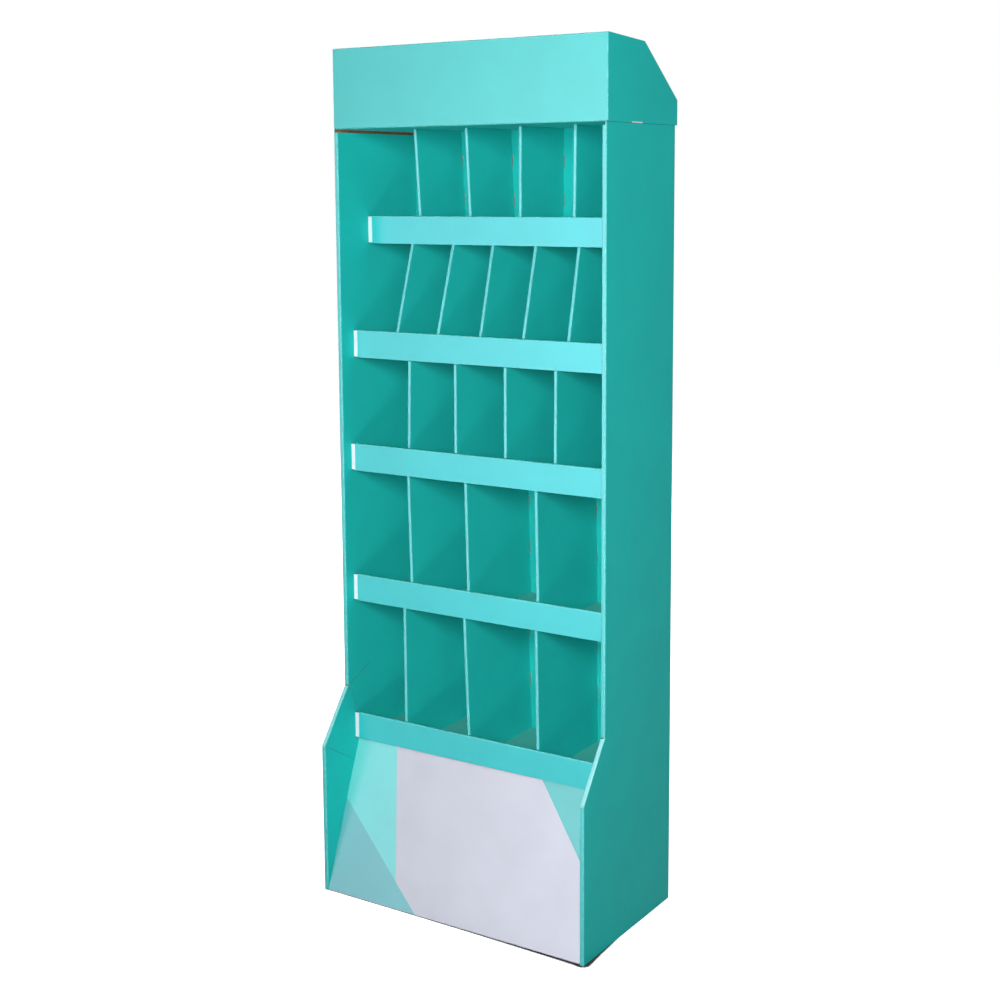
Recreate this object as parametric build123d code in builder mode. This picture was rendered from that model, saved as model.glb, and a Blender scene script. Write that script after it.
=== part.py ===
from build123d import *
from math import atan2, cos, degrees, hypot, pi, radians, sin, tan
import os

# Floor display stand of folded corrugated board. Each piece is one sheet, creased and folded.
# X runs left to right, Y front to back, Z up from the floor. The origin is the middle of the footprint.

os.makedirs("parts", exist_ok=True)

# Board and folds
board = 2.5                 # walls, shelves, header and base
divider_board = 2.0         # thinner board of the dividers
crease_radius = 2.0         # outside radius of a fold
slit = 0.6                  # cut between two flaps of one sheet
fit = 0.3                   # clearance between pieces that tuck or seat together

# Side walls
body_width = 600.0
upper_depth = 260.5         # front edge to back, above the wings
wall_width = 9.0            # outer panel, void and rolled-over inner panel
inner_drop = 6.0            # the inner panel stops this far below the outer one
wing_reach = 76.0           # how far the base stands out in front of the upper wall
shoulder_height = 404.0     # top of the slanted wing edge
wing_height = 300.0         # foot of the slanted wing edge
back_flange = 40.0
corner_notch = 2.6
upper_seam_angle = 22.0     # lower edge of the upper inner flap
upper_seam = 80.0
wedge_seam_angle = -62.0    # rear edge of the slanted inner flap
wedge_seam = 62.0
wing_seam_angle = -31.0     # lower edge of the slanted inner flap
wing_seam = 98.0

# Shelves, from the top one down
tier_heights = (220.5, 222.5, 224.0, 265.0, 285.5)      # from the underside of a deck to the next above
base_height = 289.5                                     # from the floor to the lowest deck
lip_setbacks = (92.5, 39.5, 25.5, 26.0, 22.0)           # lip face behind the wall's front edge
lip_height = 54.2
lip_depth = 6.5             # two layers and the void between them
lip_tab = 8.5               # bare tab between the lip's end and the side wall
tab_shoulder = 1.5          # the tab is narrower than the lip by this, above and below
slot_play = 1.5             # room above and below a lip tab
deck_tab = 36.0
deck_tab_inset = 38.0       # its middle from the lip's face and from the back
hook = 60.0                 # tongues at the rear of a deck
hook_spacing = 190.0

# Dividers: where each stands on its deck and where its top leans to
divider_rows = (
    ((-168.0, -180.5), (-51.0, -61.0), (59.0, 60.5), (175.5, 178.5)),
    ((-191.5, -185.0), (-95.5, -88.5), (3.5, 2.5), (99.0, 97.5), (197.0, 190.5)),
    ((-157.0, -152.0), (-46.0, -45.5), (66.5, 67.0), (175.0, 176.5)),
    ((-152.5, -159.0), (-18.5, -24.5), (137.5, 133.0)),
    ((-169.0, -169.5), (-17.0, -27.0), (139.0, 135.0)),
)
slanted_row = 1             # its dividers slope back to the face of the lip above
divider_void = 0.4          # between the two layers of a divider
divider_nose = 0.6          # flat between the rounded corners of its front fold
divider_gap = 0.5           # behind the lip
rear_tab = 25.0
rear_tab_levels = (0.36, 0.71)      # share of the clear height
rear_slot_play = 1.4        # sideways room of a rear tab in its slot
rear_slot_end_play = 1.0

# Header
header_overhang = 1.5       # past the side walls, left and right
header_setback = 2.0        # its front panel behind the walls' front edges
header_rear_overhang = 4.5
header_height = 151.7       # of the front panel's fold above the walls
header_front_gap = 1.7      # below the front panel
header_crease_depth = 134.0
header_crease_drop = 7.5    # the top falls by this to where it turns into the slope
header_back_height = 45.7   # of the fold between the slope and the back
glue_flap = 28.0
glue_flap_relief = 14.0
tongue = 40.0               # locking tongue of the top panel, seen in the header's seam
tongue_setback = 87.0

# Base
kick_setback = 34.0         # top of the slanted kick panel behind the wall's front edge
kick_top_flange = 50.0
kick_foot_flange = 45.0
kick_tab = 40.0
kick_tab_rise = 87.0        # middle of the lower tab above the floor
kick_tab_drop = 41.0        # middle of the upper tab below the end of the wing's seam
support_width = 230.0
support_foot = 45.0
support_gap = 6.0           # from the kick panel's flange and from the back

# Heights and planes that the pieces share
wall_height = base_height + sum(tier_heights)
shelf_heights = [wall_height - sum(tier_heights[:shelf + 1]) for shelf in range(len(tier_heights))]
header_depth = upper_depth - header_setback + header_rear_overhang
total_depth = wing_reach + upper_depth + header_rear_overhang
front_y = wing_reach - total_depth / 2
wing_y = front_y - wing_reach
back_y = front_y + upper_depth
back_face_y = back_y - 2 * board
header_front_y = front_y + header_setback
header_back_y = back_y + header_rear_overhang
header_foot = wall_height + fit
outer_x = body_width / 2
inner_x = outer_x - wall_width
header_half = outer_x + header_overhang
tab_end_x = outer_x - board - fit
deck_half = inner_x - fit
lip_half = inner_x - lip_tab
lip_tab_height = lip_height - 2 * tab_shoulder
wing_slant = atan2(wing_reach, shoulder_height - wing_height)
divider_width = 2 * divider_board + divider_void
divider_fold = (divider_width - divider_nose) / 2


def lip_y(shelf):
    return front_y + lip_setbacks[shelf]


def deck_tab_places(shelf):
    """Depths of the middles of a deck's side tabs."""
    return lip_y(shelf) + deck_tab_inset, back_face_y - deck_tab_inset


def across(y):
    """Upright plane facing the front at depth y."""
    return Plane(origin=(0, y, 0), x_dir=(1, 0, 0), z_dir=(0, -1, 0))


def fold_section(outer):
    """Draws the section of a creased board into the open sketch. Its outside follows the points
    outer, with the board to their left. Each fold is round outside and sharp inside."""
    headings = [atan2(b[1] - a[1], b[0] - a[0]) for a, b in zip(outer, outer[1:])]
    turns = [(b - a + pi) % (2 * pi) - pi for a, b in zip(headings, headings[1:])]
    inner = []
    for (x, y), heading, turn in zip(outer, headings[:1] + headings, [0, *turns, 0]):
        aim = heading + turn / 2 + pi / 2
        reach = board / cos(turn / 2)
        inner.append((x + reach * cos(aim), y + reach * sin(aim)))
    with BuildLine() as edge:
        FilletPolyline(*outer, radius=[crease_radius if turn > 0 else 0 for turn in turns])
        FilletPolyline(*inner, radius=[0 if turn > 0 else crease_radius for turn in turns])
        Line(outer[0], inner[0])
        Line(outer[-1], inner[-1])
    make_face(edge.edges())


def ceiling_above(shelf):
    """Underside of what closes the row of dividers that stands on a shelf."""
    return header_foot if shelf == 0 else shelf_heights[shelf - 1]


def clear_height(shelf):
    return ceiling_above(shelf) - shelf_heights[shelf] - board


def level_in_row(shelf, share):
    return shelf_heights[shelf] + board + share * clear_height(shelf)


# The kick panel's front line, which its locking tabs and their slots in the walls follow
kick_foot = Vector(wing_y, 0)
kick_head = Vector(front_y + kick_setback, shelf_heights[-1] - fit)
kick_line = kick_head - kick_foot
kick_angle = degrees(atan2(kick_line.Y, kick_line.X))
kick_inward = Vector(sin(radians(kick_angle)), -cos(radians(kick_angle)))
kick_tab_heights = (
    kick_tab_rise,
    wing_height + wing_seam * sin(radians(wing_seam_angle)) - kick_tab_drop,
)


def kick_tab_centre(height):
    return kick_foot + kick_line * (height / kick_line.Y) + kick_inward * (board / 2)


# Side wall: outer panel, front edge strips and inner panel rolled over from one sheet.
# The inner panel is three flaps, one for each stretch of the front edge.
with BuildPart() as right_side:
    with BuildSketch(Plane.YZ.offset(inner_x)):
        with BuildLine():
            Polyline(
                (wing_y, 0),
                (wing_y, wing_height),
                (front_y, shoulder_height),
                (front_y, wall_height),
                (back_y, wall_height),
                (back_y, 0),
                close=True,
            )
        make_face()
    extrude(amount=wall_width)
    front_edges = right_side.edges().filter_by_position(Axis.Y, wing_y - fit, front_y + fit)
    fillet(front_edges.filter_by(Axis.X, reverse=True), crease_radius)
    corner_drop = board * tan(wing_slant / 2)
    with BuildSketch(Plane.YZ.offset(inner_x + board)):
        with BuildLine():
            Polyline(
                (wing_y + board, 0),
                (wing_y + board, wing_height - corner_drop),
                (front_y + board, shoulder_height - corner_drop),
                (front_y + board, wall_height),
                (back_y, wall_height),
                (back_y, 0),
                close=True,
            )
        make_face()
    extrude(amount=wall_width - 2 * board, mode=Mode.SUBTRACT)
    with BuildSketch(Plane.YZ.offset(inner_x)):
        with Locations((back_face_y - fit, 0)):
            Rectangle(2 * board + fit, wall_height, align=(Align.MIN, Align.MIN))
        with Locations((front_y, wall_height - inner_drop)):
            Rectangle(upper_depth, inner_drop, align=(Align.MIN, Align.MIN))
    extrude(amount=wall_width - board, mode=Mode.SUBTRACT)
    with BuildSketch(Plane.XY):
        with Locations((outer_x, back_y)):
            Rectangle(back_flange, board, align=(Align.MAX, Align.MAX))
    extrude(amount=wall_height)
    back_corner = (outer_x, back_y, wall_height / 2)
    back_fold = right_side.edges().filter_by(Axis.Z).sort_by_distance(back_corner)[0]
    fillet(back_fold, crease_radius)
    with BuildSketch(Plane.YZ.offset(inner_x)):
        with Locations((front_y, shoulder_height), (wing_y, wing_height)):
            Rectangle(corner_notch, corner_notch, rotation=45)
    extrude(amount=wall_width - board, mode=Mode.SUBTRACT)
    with BuildSketch(Plane.YZ.offset(inner_x)):
        with Locations((front_y, shoulder_height)):
            Rectangle(upper_seam, slit, rotation=upper_seam_angle, align=(Align.MIN, Align.CENTER))
            Rectangle(wedge_seam, slit, rotation=wedge_seam_angle, align=(Align.MIN, Align.CENTER))
        with Locations((wing_y, wing_height)):
            Rectangle(wing_seam, slit, rotation=wing_seam_angle, align=(Align.MIN, Align.CENTER))
    extrude(amount=board, mode=Mode.SUBTRACT)
    with BuildSketch(Plane.YZ.offset(inner_x)):
        for shelf, height in enumerate(shelf_heights):
            with Locations((lip_y(shelf) + board / 2, height + lip_height / 2)):
                Rectangle(board + 2 * fit, lip_tab_height + 2 * slot_play)
            with Locations([(y, height + board / 2) for y in deck_tab_places(shelf)]):
                Rectangle(deck_tab + 2 * fit, board + 2 * fit)
        for height in kick_tab_heights:
            centre = kick_tab_centre(height)
            with Locations((centre.X, centre.Y)):
                Rectangle(kick_tab + 2 * fit, board + 2 * fit, rotation=kick_angle)
    extrude(amount=board, mode=Mode.SUBTRACT)

with BuildPart() as left_side:
    mirror(right_side.part, about=Plane.YZ)

# Back: one flat sheet glued to the walls' flanges, with slots for the dividers and the decks
with BuildPart() as back_panel:
    with BuildSketch(across(back_face_y)):
        Rectangle(2 * tab_end_x, wall_height, align=(Align.CENTER, Align.MIN))
        for shelf, row in enumerate(divider_rows):
            with Locations((0, shelf_heights[shelf] + board / 2)):
                with GridLocations(hook_spacing, 0, 3, 1):
                    Rectangle(hook + 2 * fit, board + 2 * fit, mode=Mode.SUBTRACT)
            for foot_x, head_x in row:
                for share in rear_tab_levels:
                    with Locations((foot_x + share * (head_x - foot_x), level_in_row(shelf, share))):
                        Rectangle(
                            divider_width + 2 * rear_slot_play,
                            rear_tab + 2 * rear_slot_end_play,
                            mode=Mode.SUBTRACT,
                        )
    extrude(amount=-board)

finished = {"left_side": left_side, "right_side": right_side, "back_panel": back_panel}

# Shelf trays: a deck whose front is folded up, over and down again into a double lip. The
# front layer's ends are bare tabs in the walls, and tongues hook the deck into walls and back.
for shelf, height in enumerate(shelf_heights):
    face_y = lip_y(shelf)
    lip_back_y = face_y + lip_depth
    deck_top = height + board
    lip_top = height + lip_height
    with BuildPart() as tray:
        with BuildSketch(Plane.YZ):
            fold_section((
                (back_face_y - fit, deck_top),
                (lip_back_y, deck_top),
                (lip_back_y, lip_top),
                (face_y, lip_top),
                (face_y, height),
            ))
        extrude(amount=lip_half, both=True)
        with BuildSketch(Plane.XY.offset(height)):
            with Locations((0, lip_back_y)):
                Rectangle(
                    2 * deck_half,
                    back_face_y - fit - lip_back_y,
                    align=(Align.CENTER, Align.MIN),
                )
            with Locations([(0, y) for y in deck_tab_places(shelf)]):
                Rectangle(2 * tab_end_x, deck_tab)
            with Locations((0, back_face_y + board)):
                with GridLocations(hook_spacing, 0, 3, 1):
                    Rectangle(hook, 2 * board, align=(Align.CENTER, Align.MAX))
        extrude(amount=board)
        with BuildSketch(across(face_y)):
            with Locations((0, height + lip_height / 2)):
                Rectangle(2 * tab_end_x, lip_tab_height)
                Rectangle(2 * lip_half, lip_height, mode=Mode.SUBTRACT)
        extrude(amount=-board)
    finished[f"shelf_{shelf + 1}"] = tray

# Dividers: a thin sheet folded in half at its front edge, standing between two decks,
# with tabs at the rear in the back's slots. On the second shelf the front slopes back.
for shelf, row in enumerate(divider_rows):
    face_y = lip_y(shelf) + lip_depth + divider_gap
    head_y = lip_y(shelf - 1) if shelf == slanted_row else face_y
    for number, (foot_x, head_x) in enumerate(row):
        lean = atan2(head_x - foot_x, clear_height(shelf))
        corner_lift = divider_width / 2 * abs(sin(lean))
        tall = (clear_height(shelf) - 2 * fit - 2 * corner_lift) / cos(lean)
        sheet = Plane(
            origin=(foot_x, 0, shelf_heights[shelf] + board + fit + corner_lift),
            x_dir=(0, 1, 0),
            z_dir=(cos(lean), 0, -sin(lean)),
        )
        lip_level = lip_height - board
        front_edge = [(face_y, 0), (face_y, lip_level), (head_y, tall)]
        void_edge = [(y + divider_board, z) for y, z in front_edge]
        rear_y = back_face_y - fit
        with BuildPart() as divider:
            with BuildSketch(sheet):
                with BuildLine():
                    Polyline(*front_edge, (rear_y, tall), (rear_y, 0), close=True)
                make_face()
                for share in rear_tab_levels:
                    with Locations((rear_y, share * tall)):
                        Rectangle(board + fit, rear_tab, align=(Align.MIN, Align.CENTER))
            extrude(amount=divider_width / 2, both=True)
            front_edges = divider.edges().filter_by_position(Axis.Y, face_y - fit, head_y + fit)
            through_sheet = Axis(sheet.origin, sheet.z_dir)
            fillet(front_edges.filter_by(through_sheet, reverse=True), divider_fold)
            with BuildSketch(sheet):
                with BuildLine():
                    Polyline(*void_edge, (back_y, tall), (back_y, 0), close=True)
                make_face()
            extrude(amount=divider_void / 2, both=True, mode=Mode.SUBTRACT)
        finished[f"divider_{shelf + 1}_{number + 1}"] = divider

# The header's profile from the foot of its front panel, over the top, to the foot of its back
header_outline = (
    (header_front_y, header_foot),
    (header_front_y, header_foot + header_height),
    (header_front_y + header_crease_depth, header_foot + header_height - header_crease_drop),
    (header_back_y, header_foot + header_back_height),
    (header_back_y, header_foot),
)
slope_run = header_depth - header_crease_depth
slope_fall = header_height - header_crease_drop - header_back_height
slope_angle = atan2(slope_fall, slope_run)
glue_flap_drop = (glue_flap + board) * cos(slope_angle) - glue_flap_relief * sin(slope_angle)

# Top panel: a shallow tray that closes the body under the header, its flanges turned up to
# just under the header's glue flaps. A tongue at each side locks into the header's seam.
header_flange = header_back_height - glue_flap_drop - fit
top_front_y = header_front_y + board + fit
top_half = header_half - board - fit
with BuildPart() as top_panel:
    with BuildSketch(Plane.XY.offset(header_foot)):
        with Locations((0, top_front_y)):
            Rectangle(2 * top_half, back_y - top_front_y, align=(Align.CENTER, Align.MIN))
    extrude(amount=header_flange)
    fillet(top_panel.edges().group_by(Axis.Z)[0], crease_radius)
    with BuildSketch(Plane.XY.offset(header_foot + board)):
        with Locations((0, top_front_y + board)):
            Rectangle(
                2 * (top_half - board),
                back_y - top_front_y - 2 * board,
                align=(Align.CENTER, Align.MIN),
            )
    extrude(amount=header_flange, mode=Mode.SUBTRACT)
    with BuildSketch(Plane.XY.offset(header_foot + board)):
        with GridLocations(2 * (top_half - board), 0, 2, 1):
            with Locations((0, top_front_y + board), (0, back_y - board)):
                Rectangle(2 * slit, slit)
        with Locations((0, header_front_y + tongue_setback + tongue / 2)):
            Rectangle(2 * top_half, tongue + 2 * fit)
    extrude(amount=header_flange, mode=Mode.SUBTRACT)
    with BuildSketch(Plane.XY.offset(header_foot)):
        with Locations((0, header_front_y + tongue_setback + tongue / 2)):
            Rectangle(2 * (header_half - fit), tongue)
    extrude(amount=board)

# Header: front panel with both cheeks folded back from it, and the top, slope and back
# panels folded over from its upper edge, glued by flaps inside the cheeks.
flap_x = header_half - board - slit
with BuildPart() as header:
    with BuildSketch(Plane.YZ):
        with BuildLine():
            Polyline(*header_outline, close=True)
        make_face()
    extrude(amount=header_half, both=True)
    cheek_folds = header.edges().filter_by(Axis.Z).group_by(Axis.Y)[0]
    cross_folds = header.edges().filter_by(Axis.X).group_by(Axis.Z)[1:]
    fillet(cheek_folds + [edge for level in cross_folds for edge in level], crease_radius)
    with BuildSketch(Plane.YZ):
        with BuildLine():
            Polyline(*header_outline, close=True)
        make_face()
        offset(amount=-board, kind=Kind.INTERSECTION, mode=Mode.REPLACE)
        with Locations((header_front_y + board, header_foot)):
            Rectangle(header_depth - 2 * board, 2 * board, align=(Align.MIN, Align.MIN))
    extrude(amount=header_half - board, both=True, mode=Mode.SUBTRACT)
    for side in (-1, 1):
        with BuildSketch(Plane.YZ.offset(side * (flap_x + slit / 2))):
            with Locations((header_front_y + board, header_foot)):
                Rectangle(header_depth, header_height, align=(Align.MIN, Align.MIN))
        extrude(amount=slit / 2, both=True, mode=Mode.SUBTRACT)
        with BuildSketch(Plane.YZ.offset(side * (flap_x - board / 2))):
            for start, end in zip(header_outline[1:3], header_outline[2:4]):
                run = hypot(end[0] - start[0], end[1] - start[1])
                turn = degrees(atan2(end[1] - start[1], end[0] - start[0]))
                with Locations(Location(((start[0] + end[0]) / 2, (start[1] + end[1]) / 2), turn)):
                    with Locations((0, -board / 2)):
                        Rectangle(
                            run - 2 * glue_flap_relief,
                            glue_flap + board / 2,
                            align=(Align.CENTER, Align.MAX),
                        )
        extrude(amount=board / 2, both=True)
    with BuildSketch(across(header_front_y)):
        with Locations((0, header_foot)):
            Rectangle(2 * header_half, header_front_gap, align=(Align.CENTER, Align.MIN))
    extrude(amount=-board, mode=Mode.SUBTRACT)
    with BuildSketch(Plane.YZ):
        with Locations((header_front_y + tongue_setback + tongue / 2, header_foot)):
            Rectangle(tongue + 2 * fit, board + fit, align=(Align.CENTER, Align.MIN))
    extrude(amount=header_half, both=True, mode=Mode.SUBTRACT)

# Kick panel: the slanted front of the base, with a foot flange on the floor, a top flange
# under the lowest deck, and tabs at its sides in the wings' slots.
with BuildPart() as kick_panel:
    with BuildSketch(Plane.YZ):
        fold_section((
            (kick_head.X + kick_top_flange, kick_head.Y),
            (kick_head.X, kick_head.Y),
            (kick_foot.X, kick_foot.Y),
            (kick_foot.X + kick_foot_flange, kick_foot.Y),
        ))
    extrude(amount=deck_half, both=True)
    with BuildSketch(Plane.YZ):
        for height in kick_tab_heights:
            centre = kick_tab_centre(height)
            with Locations((centre.X, centre.Y)):
                Rectangle(kick_tab, board, rotation=kick_angle)
    extrude(amount=tab_end_x, both=True)

# Base support: a channel under the lowest deck, standing on its turned-in feet
support_front_y = kick_head.X + kick_top_flange + support_gap
support_depth = back_face_y - support_gap - support_front_y
support_top = shelf_heights[-1] - fit
support_half = support_width / 2
with BuildPart() as base_support:
    with BuildSketch(across(support_front_y)):
        fold_section((
            (support_half - support_foot, 0),
            (support_half, 0),
            (support_half, support_top),
            (-support_half, support_top),
            (-support_half, 0),
            (support_foot - support_half, 0),
        ))
    extrude(amount=-support_depth)

finished["top_panel"] = top_panel
finished["header"] = header
finished["kick_panel"] = kick_panel
finished["base_support"] = base_support

for name, piece in finished.items():
    piece.part.label = name
    export_step(piece.part, f"parts/{name}.step")
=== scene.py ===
import bmesh
import bpy
from math import cos, pi, radians, sin
from mathutils import Matrix, Vector


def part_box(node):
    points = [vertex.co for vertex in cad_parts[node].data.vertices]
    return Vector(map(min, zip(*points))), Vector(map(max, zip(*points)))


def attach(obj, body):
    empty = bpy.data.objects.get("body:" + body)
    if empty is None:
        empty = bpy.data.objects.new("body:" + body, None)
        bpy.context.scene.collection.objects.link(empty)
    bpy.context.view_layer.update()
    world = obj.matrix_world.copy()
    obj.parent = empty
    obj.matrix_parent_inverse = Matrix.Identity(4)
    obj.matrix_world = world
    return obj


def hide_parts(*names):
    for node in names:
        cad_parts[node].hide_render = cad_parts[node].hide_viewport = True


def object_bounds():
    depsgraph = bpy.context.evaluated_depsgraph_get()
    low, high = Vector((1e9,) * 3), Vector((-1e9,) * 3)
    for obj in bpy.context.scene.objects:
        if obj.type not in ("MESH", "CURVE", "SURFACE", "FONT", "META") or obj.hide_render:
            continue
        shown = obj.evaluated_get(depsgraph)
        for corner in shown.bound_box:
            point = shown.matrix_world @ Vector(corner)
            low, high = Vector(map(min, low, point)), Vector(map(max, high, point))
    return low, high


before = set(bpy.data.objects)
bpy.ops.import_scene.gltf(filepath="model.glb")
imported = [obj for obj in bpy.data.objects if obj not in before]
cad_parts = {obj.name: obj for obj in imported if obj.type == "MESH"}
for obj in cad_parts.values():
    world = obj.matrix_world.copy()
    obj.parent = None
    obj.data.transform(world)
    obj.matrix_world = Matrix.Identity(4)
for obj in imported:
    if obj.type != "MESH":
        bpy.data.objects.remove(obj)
cad_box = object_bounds()

# Side walls. Each is one sheet of corrugated board, printed outside: an outer panel, strips along
# its front edge and an inner panel rolled over from them, cut into three flaps that meet in seams.
# The flutes run upright. A flange turns in at the rear and is glued to the back.
board = 0.0025
wall_width = 0.0090
outer_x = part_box("right_side")[1].x
inner_x = outer_x - wall_width
wall_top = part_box("right_side")[1].z
back_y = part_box("right_side")[1].y
back_face_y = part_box("back_panel")[0].y
flute_pitch = 0.0062
teal = (0.017, 0.580, 0.540, 1)
# Lighter teal for the folds: partly scuffing, partly a painted highlight where folds catch the light.
teal_wear_and_sheen = (0.20, 0.72, 0.70, 1)
kraft = (0.37, 0.235, 0.125, 1)
kraft_shade = (0.26, 0.155, 0.075, 1)
cut_kraft = (0.33, 0.20, 0.10, 1)
flute_shadow = (0.045, 0.026, 0.013, 1)
just_off = 0.0001
same_spot = 0.000001


def add(tree, kind, inputs, **settings):
    """Puts a node into a finish, with its settings, plain values and links."""
    node = tree.nodes.new(kind)
    for name, value in settings.items():
        setattr(node, name, value)
    for name, value in inputs.items():
        if isinstance(value, bpy.types.NodeSocket):
            tree.links.new(value, node.inputs[name])
        else:
            node.inputs[name].default_value = value
    return node


def reckon(tree, operation, *terms):
    """The sum, product or the like of some terms."""
    node = add(tree, "ShaderNodeMath", dict(enumerate(terms)), operation=operation)
    return node.outputs["Value"]


def ramp(tree, value, start, end, low=0.0, high=1.0):
    """Goes from low to high while a value goes from start to end."""
    limits = {"Value": value, "From Min": start, "From Max": end, "To Min": low, "To Max": high}
    return add(tree, "ShaderNodeMapRange", limits).outputs["Result"]


def grain(tree, place, scale, detail, roughness):
    """Specks or clouds, finer as the scale grows."""
    inputs = {"Vector": place, "Scale": scale, "Detail": detail, "Roughness": roughness}
    return add(tree, "ShaderNodeTexNoise", inputs).outputs["Fac"]


def mix(tree, share, first, second):
    """Goes from the first colour to the second as the share grows."""
    inputs = {"Factor": share, "A": first, "B": second}
    return add(tree, "ShaderNodeMix", inputs, data_type="RGBA").outputs["Result"]


def start_finish(name, specular):
    """A new finish, with its node tree and its shader."""
    finish = bpy.data.materials.new(name)
    finish.use_nodes = True
    shader = finish.node_tree.nodes["Principled BSDF"]
    shader.inputs["Specular IOR Level"].default_value = specular
    return finish, finish.node_tree, shader


def liner_relief(tree, shader, washboard, nap):
    """Gives a paper liner its relief, the flutes' washboard and the fibres' nap, in metres."""
    board_map = add(tree, "ShaderNodeUVMap", {}, uv_map="flutes").outputs["UV"]
    flutes = add(
        tree,
        "ShaderNodeTexWave",
        {"Vector": board_map, "Scale": 2 * pi / (20 * flute_pitch)},
        wave_type="BANDS",
        bands_direction="X",
        wave_profile="SIN",
    )
    along = add(tree, "ShaderNodeMapping", {"Vector": board_map, "Scale": (1.0, 0.35, 1.0)})
    fibres = grain(tree, along.outputs["Vector"], 900.0, 3.0, 0.6)
    low = {"Height": flutes.outputs["Fac"], "Distance": washboard, "Strength": 1.0}
    low_relief = add(tree, "ShaderNodeBump", low).outputs["Normal"]
    fine = {"Height": fibres, "Distance": nap, "Strength": 1.0, "Normal": low_relief}
    fine_relief = add(tree, "ShaderNodeBump", fine).outputs["Normal"]
    tree.links.new(fine_relief, shader.inputs["Normal"])
    return fibres


def printed_liner(name, ink, fold_wear_and_sheen=teal_wear_and_sheen):
    """Ink on the smooth liner: a little uneven, satin, and lighter along the folds, partly from
    scuffing and partly as a painted highlight.
    """
    finish, tree, shader = start_finish(name, specular=0.08)
    fibres = liner_relief(tree, shader, washboard=0.00003, nap=0.000006)
    where = add(tree, "ShaderNodeTexCoord", {}).outputs["Object"]
    cloud = grain(tree, where, 9.0, 4.0, 0.55)
    density = ramp(tree, cloud, 0.3, 0.7, 0.965, 1.035)
    speckle = ramp(tree, fibres, 0.3, 0.7, 0.975, 1.025)
    strength = reckon(tree, "MULTIPLY", density, speckle)
    colour = add(tree, "ShaderNodeVectorMath", {0: ink[:3], "Scale": strength}, operation="SCALE")
    fold = add(tree, "ShaderNodeAttribute", {}, attribute_name="fold").outputs["Fac"]
    scuff = grain(tree, where, 160.0, 5.0, 0.7)
    # The folds are painted lighter: partly scuffing, partly a painted highlight.
    wear_and_sheen_share = reckon(tree, "MULTIPLY", fold, ramp(tree, scuff, 0.42, 0.66, 0.15, 0.8))
    worn_and_sheened = mix(tree, wear_and_sheen_share, colour.outputs["Vector"], fold_wear_and_sheen)
    tree.links.new(worn_and_sheened, shader.inputs["Base Color"])
    tree.links.new(ramp(tree, fibres, 0.3, 0.7, 0.50, 0.57), shader.inputs["Roughness"])
    return finish


def bare_liner(name, paper, shade):
    """Unprinted paper: matt, with long fibres and flecks in it."""
    finish, tree, shader = start_finish(name, specular=0.15)
    shader.inputs["Roughness"].default_value = 0.85
    fibres = liner_relief(tree, shader, washboard=0.00006, nap=0.000012)
    where = add(tree, "ShaderNodeTexCoord", {}).outputs["Object"]
    flecks = grain(tree, where, 70.0, 6.0, 0.7)
    tone = ramp(tree, reckon(tree, "MULTIPLY", fibres, flecks), 0.16, 0.34)
    tree.links.new(mix(tree, tone, shade, paper), shader.inputs["Base Color"])
    return finish


def raw_edge(name, pitch):
    """A cut through the board: two liners, the wavy medium between them, and dark flutes."""
    finish, tree, shader = start_finish(name, specular=0.1)
    shader.inputs["Roughness"].default_value = 0.9
    board_map = add(tree, "ShaderNodeUVMap", {}, uv_map="flutes").outputs["UV"]
    place = add(tree, "ShaderNodeSeparateXYZ", {"Vector": board_map})
    along, through = place.outputs["X"], place.outputs["Y"]
    swing = reckon(tree, "SINE", reckon(tree, "MULTIPLY", along, 2 * pi / pitch))
    medium = reckon(tree, "MULTIPLY_ADD", swing, 0.33, 0.5)
    from_medium = reckon(tree, "ABSOLUTE", reckon(tree, "SUBTRACT", through, medium))
    from_centre = reckon(tree, "ABSOLUTE", reckon(tree, "SUBTRACT", through, 0.5))
    wave = ramp(tree, from_medium, 0.08, 0.17, 1.0, 0.0)
    liners = ramp(tree, from_centre, 0.36, 0.42)
    where = add(tree, "ShaderNodeTexCoord", {}).outputs["Object"]
    frayed = ramp(tree, grain(tree, where, 1400.0, 2.0, 0.5), 0.3, 0.7, 0.72, 1.0)
    amount = reckon(tree, "MULTIPLY", reckon(tree, "MAXIMUM", wave, liners), frayed)
    hollows = {"Height": amount, "Distance": 0.0004, "Strength": 0.8}
    relief = add(tree, "ShaderNodeBump", hollows).outputs["Normal"]
    tree.links.new(mix(tree, amount, flute_shadow, cut_kraft), shader.inputs["Base Color"])
    tree.links.new(relief, shader.inputs["Normal"])
    return finish


def across_flutes(normal, crosswise):
    """Direction across the flutes in a panel that faces along normal."""
    if crosswise:
        direction = Vector((1, 0, 0)).cross(normal)
    else:
        direction = Vector((0, 1, 0)) if abs(normal.x) > 0.7 else Vector((1, 0, 0))
        direction -= direction.dot(normal) * normal
    if direction.length < 0.01:
        direction = Vector((0, 1, 0))
    direction.normalize()
    return -direction if max(direction, key=abs) < 0 else direction


def flat_patches(sheet):
    """Groups the faces of a sheet by the flat patch that they lie in, and numbers them by it."""
    same_plane = radians(0.8)
    patch_of = {}
    patches = []
    for first in sheet.faces:
        if first in patch_of:
            continue
        patch = []
        waiting = [first]
        patch_of[first] = len(patches)
        while waiting:
            face = waiting.pop()
            patch.append(face)
            for edge in face.edges:
                if edge.calc_face_angle(pi) < same_plane:
                    for other in edge.link_faces:
                        if other not in patch_of:
                            patch_of[other] = len(patches)
                            waiting.append(other)
        patches.append(patch)
    return patch_of, patches


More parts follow.
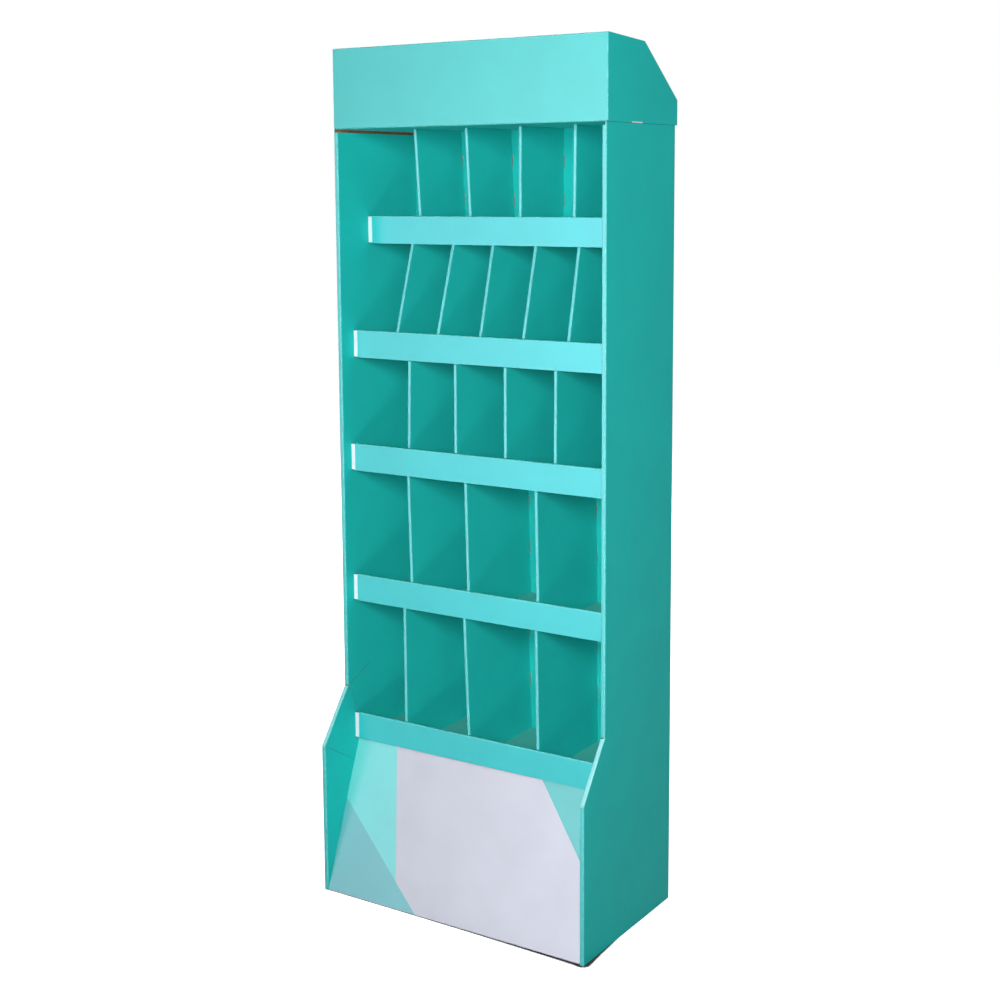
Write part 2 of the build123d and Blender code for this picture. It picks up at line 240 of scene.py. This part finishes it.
def cuts_and_folds(patch_of, patches, thickness):
    """The patches that are cuts through the board, and the narrow ones that round a fold."""
    widest_fold = 0.0012
    cuts, folds = set(), set()
    for number, patch in enumerate(patches):
        rim = [
            edge
            for face in patch
            for edge in face.edges
            if any(patch_of[other] != number for other in edge.link_faces)
        ]
        length = sum(edge.calc_length() for edge in rim)
        if length == 0:
            continue
        square = sum(e.calc_length() for e in rim if e.calc_face_angle(pi) > radians(50))
        gentle = sum(e.calc_length() for e in rim if e.calc_face_angle(pi) < radians(45))
        width = 2 * sum(face.calc_area() for face in patch) / length
        if width < 1.15 * thickness and square > 0.85 * length:
            cuts.add(number)
        elif width < widest_fold and gentle > 0.3 * length:
            folds.add(number)
    return cuts, folds


def map_flutes(sheet, patch_of, cuts, folds, look_of, crosswise):
    """Lays the flutes' map on every face, in metres on a skin, and from liner to liner on a cut."""
    flutes = sheet.loops.layers.uv.new("flutes")
    fold = sheet.loops.layers.float.new("fold")
    for face in sheet.faces:
        if patch_of[face] not in cuts:
            across = across_flutes(face.normal, crosswise)
            along = face.normal.cross(across)
            for loop in face.loops:
                loop[flutes].uv = (across.dot(loop.vert.co), along.dot(loop.vert.co))
                loop[fold] = 1.0 if patch_of[face] in folds else 0.0
            continue
        beside = [other for edge in face.edges for other in edge.link_faces]
        touching = [other for vert in face.verts for other in vert.link_faces]
        skins = [other for other in beside + touching if patch_of[other] not in cuts]
        across = across_flutes(skins[0].normal, crosswise) if skins else Vector((1, 0, 0))
        for loop in face.loops:
            bare = any(
                look_of[other].startswith("inside")
                for other in loop.vert.link_faces
                if patch_of[other] not in cuts
            )
            loop[flutes].uv = (across.dot(loop.vert.co), 0.0 if bare else 1.0)
            loop[fold] = 0.0


def dress(name, node, looks, choose, thickness=board, crosswise=False, score=None, ends=()):
    """Copies a packed sheet and finishes every face: cut edges, folds, printed and bare skins.
    choose(middle, normal) names the look of a skin, inside for a bare one, and ends are the looks
    that also cover a cut edge."""
    sheet = bmesh.new()
    sheet.from_mesh(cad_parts[node].data)
    bmesh.ops.remove_doubles(sheet, verts=sheet.verts, dist=same_spot)
    if score:
        score(sheet)
    sheet.normal_update()
    patch_of, patches = flat_patches(sheet)
    cuts, folds = cuts_and_folds(patch_of, patches, thickness)
    names = list(looks)
    look_of = {}
    for face in sheet.faces:
        look = choose(face.calc_center_median(), face.normal)
        look_of[face] = "cut" if patch_of[face] in cuts and look not in ends else look
        face.smooth = True
        face.material_index = names.index(look_of[face])
    map_flutes(sheet, patch_of, cuts, folds, look_of, crosswise)
    for edge in sheet.edges:
        one_kind = len({patch_of[face] in cuts for face in edge.link_faces}) == 1
        edge.smooth = one_kind and edge.calc_face_angle(pi) < radians(35)
    mesh = bpy.data.meshes.new(name)
    sheet.to_mesh(mesh)
    sheet.free()
    for look in names:
        mesh.materials.append(looks[look])
    piece = bpy.data.objects.new(name, mesh)
    bpy.context.scene.collection.objects.link(piece)
    piece.modifiers.new("even_faces", "WEIGHTED_NORMAL").keep_sharp = True
    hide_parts(node)
    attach(piece, "root")
    return piece


def wall_skin(middle, normal):
    """The wall's sheet is bare in its void and behind its rear flange."""
    probe = middle + just_off * normal
    x = abs(probe.x)
    between = inner_x + board / 2 < x < outer_x - board / 2
    in_void = between and probe.y < back_y - board / 2 and normal.y > -0.3
    in_flange = back_face_y < probe.y < back_y - board / 2 and x < outer_x - board / 2
    if in_void or in_flange:
        return "inside"
    # Faces turned to the front get whiter inks: painted sheen on the strips, a painted highlight on
    # the flare.
    if normal.y < -0.6:
        return "flare" if normal.z > 0.2 else "strip"
    return "print"


kraft_liner = bare_liner("kraft_liner", kraft, kraft_shade)
teal_sheet = {
    "print": printed_liner("teal_print", teal),
    "inside": kraft_liner,
    "cut": raw_edge("board_edge", flute_pitch),
}
wall_looks = {
    **teal_sheet,
    # The front strips are printed whiter than the teal: painted sheen.
    "strip": printed_liner("edge_sheen_print", (0.06, 0.56, 0.56, 1)),
    # The upward-sloping flare is printed far lighter: a painted highlight.
    "flare": printed_liner("flare_highlight_print", (0.30, 0.80, 0.82, 1), (0.40, 0.85, 0.86, 1)),
}
for side in ("left", "right"):
    wall = dress(side + "_wall", side + "_side", wall_looks, wall_skin)

# Back. One flat sheet, printed in front, glued to the walls' flanges. It is slotted for the
# dividers' tabs and the shelves' tongues, and bare kraft behind.


def back_skin(middle, normal):
    """Bare behind, printed elsewhere."""
    return "inside" if normal.y > 0.5 else "print"


back = dress("back_sheet", "back_panel", teal_sheet, back_skin)

# Shelf trays. Each is one sheet: the deck's front is folded up, over and down again into a lip of
# two layers. The front layer ends in a raw edge below and in bare white tabs in the walls.
lip_depth = 0.0065
lip_tab = 0.0085
lip_half = inner_x - lip_tab
shelf_count = 5
near = 0.001
tray_looks = {
    **teal_sheet,
    "tab": bare_liner("white_liner", (0.90, 0.91, 0.95, 1), (0.80, 0.81, 0.87, 1)),
    # The lip's front is printed a bluer teal: a painted bluish sheen.
    "lip": printed_liner("lip_sheen_print", (0.017, 0.585, 0.60, 1)),
    # The deck's top is printed a greyer, redder teal: a painted grazing sheen.
    "deck": printed_liner("deck_sheen_print", (0.11, 0.58, 0.51, 1), (0.20, 0.66, 0.60, 1)),
}


def score_line(sheet, faces, point, across):
    """Cuts some faces of a sheet along the line where a plane meets them."""
    parts = dict.fromkeys(part for face in faces for part in (*face.edges, *face.verts))
    bmesh.ops.bisect_plane(
        sheet, geom=faces + list(parts), dist=same_spot, plane_co=point, plane_no=across
    )


def fold_tray(number):
    """Dresses the tray of one shelf, counted from the top down."""
    low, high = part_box(f"shelf_{number}")

    def on_lip_face(middle, normal):
        """True for the lip's front."""
        return normal.y < -0.9 and middle.y < low.y + near

    def tray_skin(middle, normal):
        """The deck's underside and the lip's void are bare, and the lip's tabs unprinted."""
        probe = middle + just_off * normal
        if abs(middle.x) > lip_half and middle.y < low.y + board + just_off:
            return "tab" if low.y - near < middle.y < low.y + board / 2 else "inside"
        between = low.y + board / 2 < probe.y < low.y + lip_depth - board / 2
        underside = normal.z < -0.5 and middle.z < low.z + near
        if between and probe.z < high.z - board / 2 or underside:
            return "inside"
        if on_lip_face(middle, normal):
            return "lip"
        # The deck's top takes the print with the painted sheen.
        on_deck = normal.z > 0.9 and middle.z < low.z + 2 * board + near
        return "deck" if on_deck else "print"

    def score_tabs(sheet):
        """Cuts the lip's face along the end of its print, at both tabs."""
        for end in (-lip_half, lip_half):
            face_only = [f for f in sheet.faces if on_lip_face(f.calc_center_median(), f.normal)]
            score_line(sheet, face_only, (end, 0, 0), (1, 0, 0))

    tray = dress(
        f"tray_{number}",
        f"shelf_{number}",
        tray_looks,
        tray_skin,
        crosswise=True,
        score=score_tabs,
    )


for number in range(1, shelf_count + 1):
    fold_tray(number)

# Dividers. Each is a thin sheet folded in half at its front edge, printed outside, standing on a
# tray behind its lip with two tabs through the back. The second row slopes back at the front.
divider_board = 0.0020
divider_rows = (4, 5, 4, 3, 3)
fold_spring = 1.5
tab_spread = 0.0009
thin_sheet = {
    **teal_sheet,
    "cut": raw_edge("thin_edge", pitch=0.0040),
    # The dividers' front folds are printed lighter and whiter: a painted highlight.
    "nose": printed_liner("nose_highlight_print", (0.08, 0.57, 0.58, 1), (0.14, 0.63, 0.63, 1)),
}


def spring_open(sheet):
    """Lets the fold in front spring open, and ends the print at the back's face, where the tabs
    spread to fill their slots."""
    front_part = 0.1
    ring_gap = 0.005
    sheet.normal_update()
    folded = dict.fromkeys(
        vert
        for face in sheet.faces
        if abs(face.normal.y) > 0.05 and 0.02 < abs(face.normal.x) < 0.999
        for vert in face.verts
        if vert.co.y < front_part
    )
    rising = sorted(folded, key=lambda vert: vert.co.z)
    ring = []
    for vert, following in zip(rising, rising[1:] + [None]):
        ring.append(vert)
        if following is None or following.co.z - vert.co.z > ring_gap:
            middle = (min(v.co.x for v in ring) + max(v.co.x for v in ring)) / 2
            for member in ring:
                member.co.x = middle + fold_spring * (member.co.x - middle)
            ring = []
    everything = sheet.verts[:] + sheet.edges[:] + sheet.faces[:]
    bmesh.ops.bisect_plane(
        sheet, geom=everything, plane_co=(0, back_face_y, 0), plane_no=(0, 1, 0)
    )
    tips = [vert for vert in sheet.verts if vert.co.y > back_face_y + just_off]
    middle = sum(vert.co.z for vert in tips) / len(tips)
    for tab in ([v for v in tips if v.co.z < middle], [v for v in tips if v.co.z > middle]):
        centre = sum(vert.co.z for vert in tab) / len(tab)
        for vert in tab:
            vert.co.z += tab_spread if vert.co.z > centre else -tab_spread


def fold_divider(row, number):
    """Dresses one divider, by its row from the top down and its place from the left."""
    node = f"divider_{row}_{number}"
    outside = {-1: -1e9, 1: -1e9}
    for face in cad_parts[node].data.polygons:
        if abs(face.normal.x) > 0.7 and abs(face.normal.y) < 0.01:
            hand = 1 if face.normal.x > 0 else -1
            outside[hand] = max(outside[hand], face.normal.dot(face.center))

    def divider_skin(middle, normal):
        """The faces that meet inside the folded sheet are bare, and so are its rear tabs."""
        if middle.y > back_face_y:
            return "inside"
        # Faces turned to the front take the print with the painted highlight.
        if normal.y < -0.02:
            return "nose"
        if abs(normal.x) < 0.7 or normal.y > 0.01:
            return "inside" if normal.y > 0.5 else "print"
        depth = outside[1 if normal.x > 0 else -1] - normal.dot(middle)
        return "inside" if depth > 0.65 * divider_board else "print"

    divider = dress(
        f"partition_{row}_{number}",
        node,
        thin_sheet,
        divider_skin,
        divider_board,
        score=spring_open,
    )


for row, count in enumerate(divider_rows, 1):
    for number in range(1, count + 1):
        fold_divider(row, number)

# Base support. A channel of bare kraft board under the lowest tray, folded from one sheet and
# standing on its turned-in feet.


def channel_skin(middle, normal):
    """Bare all over."""
    return "inside"


channel = dress("channel", "base_support", teal_sheet, channel_skin)

# Kick panel. One printed sheet leaning out from under the lowest tray to the floor, tucked into the
# wings by its tabs. It is white with flat teal facets, whose corners are given from the panel's
# middle and as a share of its height.
kick_foot = Vector((0, cad_box[0].y, 0))
kick_head = Vector((0, -0.0605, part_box("kick_panel")[1].z))
kick_length = (kick_head - kick_foot).length
kick_up = (kick_head - kick_foot) / kick_length
kick_out = Vector((0, -kick_up.z, kick_up.y))
facets = {
    "mid": ((-0.300, 0.00), (-0.300, 0.62), (-0.075, 0.00)),
    "pale": ((-0.300, 0.62), (-0.300, 1.05), (-0.200, 1.05), (-0.1350, 0.1653)),
    "deep": ((0.130, 1.05), (0.300, 1.05), (0.300, 0.40)),
}
kick_looks = {
    "white": printed_liner("kick_white", (0.585, 0.59, 0.655, 1), (0.7, 0.71, 0.76, 1)),
    "mid": printed_liner("facet_mid", (0.13, 0.52, 0.54, 1)),
    "deep": printed_liner("facet_deep", (0.05, 0.50, 0.47, 1)),
    "pale": printed_liner("facet_pale", (0.16, 0.72, 0.70, 1)),
    "inside": kraft_liner,
    "cut": teal_sheet["cut"],
}


def sides_of(outline):
    """Each side of an outline, as its start and its end."""
    return zip(outline, outline[1:] + outline[:1])


def on_panel(x, share):
    """A point of the kick panel's face."""
    return kick_foot + Vector((x, 0, 0)) + share * kick_length * kick_up


def score_facets(sheet):
    """Cuts the panel's printed face along the facets' outlines."""
    for outline in facets.values():
        for start, end in sides_of(outline):
            first, second = on_panel(*start), on_panel(*end)
            face_only = [face for face in sheet.faces if face.normal.dot(kick_out) > 0.99]
            score_line(sheet, face_only, first, (second - first).cross(kick_out))


def kick_skin(middle, normal):
    """White or a facet's tone on the face; bare behind it and inside the flanges."""
    if normal.dot(kick_out) > 0.99:
        share = (middle - kick_foot).dot(kick_up) / kick_length
        for tone, outline in facets.items():
            turns = [
                (end[0] - start[0]) * (share - start[1]) - (end[1] - start[1]) * (middle.x - start[0])
                for start, end in sides_of(outline)
            ]
            if all(turn <= 0 for turn in turns) or all(turn >= 0 for turn in turns):
                return tone
        return "white"
    low = middle.z < kick_head.z / 2
    behind = normal.dot(kick_out) < -0.5 or (normal.z > 0.5 if low else normal.z < -0.5)
    return "inside" if behind else "white"


kick = dress("kick_front", "kick_panel", kick_looks, kick_skin, score=score_facets)

# Top panel. A shallow tray that closes the body under the header, printed below and outside. Its
# tongues lock into the header's side seams, and their bare white ends show there.
tongue_x = outer_x - 0.0005
tray_floor = wall_top + 0.004
tray_middle_y = sum(corner.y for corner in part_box("top_panel")) / 2


def ceiling_skin(middle, normal):
    """Bare inside the tray, white on the tongues."""
    if abs(middle.x) > tongue_x:
        return "tongue"
    if normal.z > 0.5 and middle.z < tray_floor:
        return "inside"
    facing_in = min(normal.x * middle.x, normal.y * (middle.y - tray_middle_y)) < -0.0001
    return "inside" if facing_in and abs(normal.z) < 0.5 else "print"


ceiling_looks = {**teal_sheet, "tongue": tray_looks["tab"]}
ceiling = dress("ceiling", "top_panel", ceiling_looks, ceiling_skin, ends=("tongue",))

# Header. A hood of one printed sheet: front panel with two cheeks folded back, and a top, slope
# and back folded over from its upper edge and glued to the cheeks by flaps inside.
hood_low, hood_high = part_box("header")
hood_top = hood_low.z + 0.1517
hood_rear_height = 0.0457
hood_depth = 0.1340
hood_fall = 0.0075
slope_start = Vector((0, hood_low.y + hood_depth, hood_top - hood_fall))
slope_end = Vector((0, hood_high.y, hood_low.z + hood_rear_height))
slope_run = slope_end - slope_start
slope_normal = Vector((0, -slope_run.z, slope_run.y)).normalized()


def hood_skin(middle, normal):
    """The hood is bare wherever its board faces its hollow."""
    probe = middle + just_off * normal
    from_front = probe.y - hood_low.y
    within = (
        abs(probe.x) < hood_high.x - board / 2
        and from_front > board / 2
        and probe.y < hood_high.y - board / 2
        and probe.z < hood_top - board / 2 - hood_fall / hood_depth * max(0, from_front)
    )
    if within and slope_normal.dot(probe - slope_start) < -board / 2:
        return "inside"
    # The front face takes the darker print with the painted shade.
    return "front" if normal.y < -0.9 else "print"


# The header's front face is printed a darker teal than its other faces: painted shade.
hood_looks = {**teal_sheet, "front": printed_liner("front_shaded_print", (0.017, 0.540, 0.505, 1))}
hood = dress("hood", "header", hood_looks, hood_skin)

# Floor and light. A plain white floor; a soft key on the camera's side with two weak lights to its
# right, a low one for the floor's bounce, one fill behind and one above, and a window in front whose
# light only shows as the print's sheen.
floor_reach = 9
floor_mesh = bpy.data.meshes.new("floor")
floor_mesh.from_pydata(
    [(x * floor_reach, y * floor_reach, 0) for x, y in ((-1, -1), (1, -1), (1, 1), (-1, 1))],
    [],
    [(0, 1, 2, 3)],
)
floor = bpy.data.objects.new("floor", floor_mesh)
bpy.context.scene.collection.objects.link(floor)


def seen_directly(tree):
    """1 for rays from the camera and for reflected or refracted ones, else 0."""
    ray = add(tree, "ShaderNodeLightPath", {}).outputs
    mirrored = reckon(tree, "MAXIMUM", ray["Is Glossy Ray"], ray["Is Transmission Ray"])
    return reckon(tree, "MAXIMUM", ray["Is Camera Ray"], mirrored)


floor_finish = bpy.data.materials.new("floor_paper")
floor_finish.use_nodes = True
tree = floor_finish.node_tree
tree.nodes.remove(tree.nodes["Principled BSDF"])
shown = seen_directly(tree)
spot = add(tree, "ShaderNodeTexCoord", {}).outputs["Object"]

# The shadow line where the stand meets the floor: widest at its front right corner, dying away
# along the front, and 3.5 times as fast along the side.
line_reach = 0.014
corner = Vector((outer_x, cad_box[0].y, 0))
stretch = Vector((1.0, 3.5, 1.0))
from_corner = add(
    tree,
    "ShaderNodeMapping",
    {"Vector": spot, "Location": -(corner * stretch), "Scale": stretch},
)
away = add(
    tree, "ShaderNodeVectorMath", {0: from_corner.outputs["Vector"]}, operation="LENGTH"
)
openness = add(tree, "ShaderNodeAmbientOcclusion", {"Distance": line_reach}).outputs["AO"]
closed_in = ramp(tree, away.outputs["Value"], 0.0, 0.45, 0.885, 0.50)
line = ramp(tree, reckon(tree, "SUBTRACT", openness, closed_in), 0.0, 0.06, 0.03, 1.0)

pale = reckon(tree, "MULTIPLY", ramp(tree, shown, 0.0, 1.0, 0.10, 0.80), line)
paper = add(tree, "ShaderNodeBsdfDiffuse", {"Color": pale})
from_middle = add(tree, "ShaderNodeVectorMath", {0: spot}, operation="LENGTH").outputs["Value"]
plain = ramp(tree, from_middle, 0.7, 2.0, 0.9, 1.0)
lift = reckon(tree, "MULTIPLY", shown, reckon(tree, "MULTIPLY", line, plain))
glow = add(tree, "ShaderNodeEmission", {"Color": (1, 1, 1, 1), "Strength": lift})
whole = add(tree, "ShaderNodeAddShader", {0: paper.outputs["BSDF"], 1: glow.outputs["Emission"]})
tree.links.new(whole.outputs["Shader"], tree.nodes["Material Output"].inputs["Surface"])
floor_mesh.materials.append(floor_finish)

room = bpy.data.worlds.new("room")
bpy.context.scene.world = room
room.use_nodes = True
tree = room.node_tree
sky = tree.nodes["Background"]
sky.inputs["Color"].default_value = (1, 1, 1, 1)
tree.links.new(ramp(tree, seen_directly(tree), 0.0, 1.0, 0.03, 1.0), sky.inputs["Strength"])


def soft_light(name, place, aim, size, power, colour=(1, 1, 1)):
    """Hangs a flat lamp, by its width and height, and turns it to what it is aimed at."""
    lamp = bpy.data.lights.new(name, "AREA")
    lamp.shape = "RECTANGLE"
    lamp.size, lamp.size_y = size
    lamp.energy = power
    lamp.color = colour
    stand = bpy.data.objects.new(name, lamp)
    stand.location = place
    stand.rotation_euler = (Vector(aim) - Vector(place)).to_track_quat("-Z", "Y").to_euler()
    bpy.context.scene.collection.objects.link(stand)
    return stand


soft_light("key", (1.5, -2.6, 1.7), aim=(0, 0, 1.0), size=(0.4, 1.0), power=77)
soft_light("half", (2.3, -2.3, 1.5), aim=(0, 0, 1.0), size=(0.8, 1.0), power=7)
soft_light("side", (2.2, 0.3, 2.4), aim=(0, 0, 1.3), size=(1.0, 1.0), power=6)
soft_light("floor_bounce", (0.45, -1.5, 0.05), aim=(0.4, -1.35, 1.0), size=(0.9, 0.6), power=13)
soft_light("rear_fill", (-2.6, 3.8, 2.4), aim=(0, 0, 0.9), size=(2.0, 2.0), power=150)
soft_light("top_fill", (0.0, 1.2, 3.8), aim=(0, 0, 1.6), size=(0.6, 1.6), power=40)
window = soft_light(
    "window",
    (-1.3, -4.7, 1.25),
    aim=(0, 0, 1.1),
    size=(1.8, 2.1),
    power=2800,
    colour=(0.92, 0.98, 1.25),
)
window.visible_diffuse = False

# Camera. It stands in front of the stand and to its right, 1.4 m up, at the photograph's place, and
# looks a little down. A small lens shift brings the stand to the middle of the picture.
camera_place = Vector((1.6686, -2.53865, 1.4003))
turn, tilt, roll = radians(33.0604), radians(7.7209), radians(-0.348)
backward = Vector((sin(turn) * cos(tilt), -cos(turn) * cos(tilt), sin(tilt)))
right = (-backward).cross(Vector((0, 0, 1))).normalized()
up = right.cross(-backward)
rolled_right = cos(roll) * right + sin(roll) * up
rolled_up = cos(roll) * up - sin(roll) * right
aim = Matrix((rolled_right, rolled_up, backward)).transposed().to_4x4()
lens = bpy.data.cameras.new("camera")
lens.sensor_width = 36
lens.lens = 57.686
lens.shift_y = -0.09822
camera = bpy.data.objects.new("camera", lens)
camera.matrix_world = Matrix.Translation(camera_place) @ aim
bpy.context.scene.collection.objects.link(camera)
bpy.context.scene.camera = camera
bpy.context.scene.view_settings.view_transform = "Standard"

bpy.context.view_layer.update()
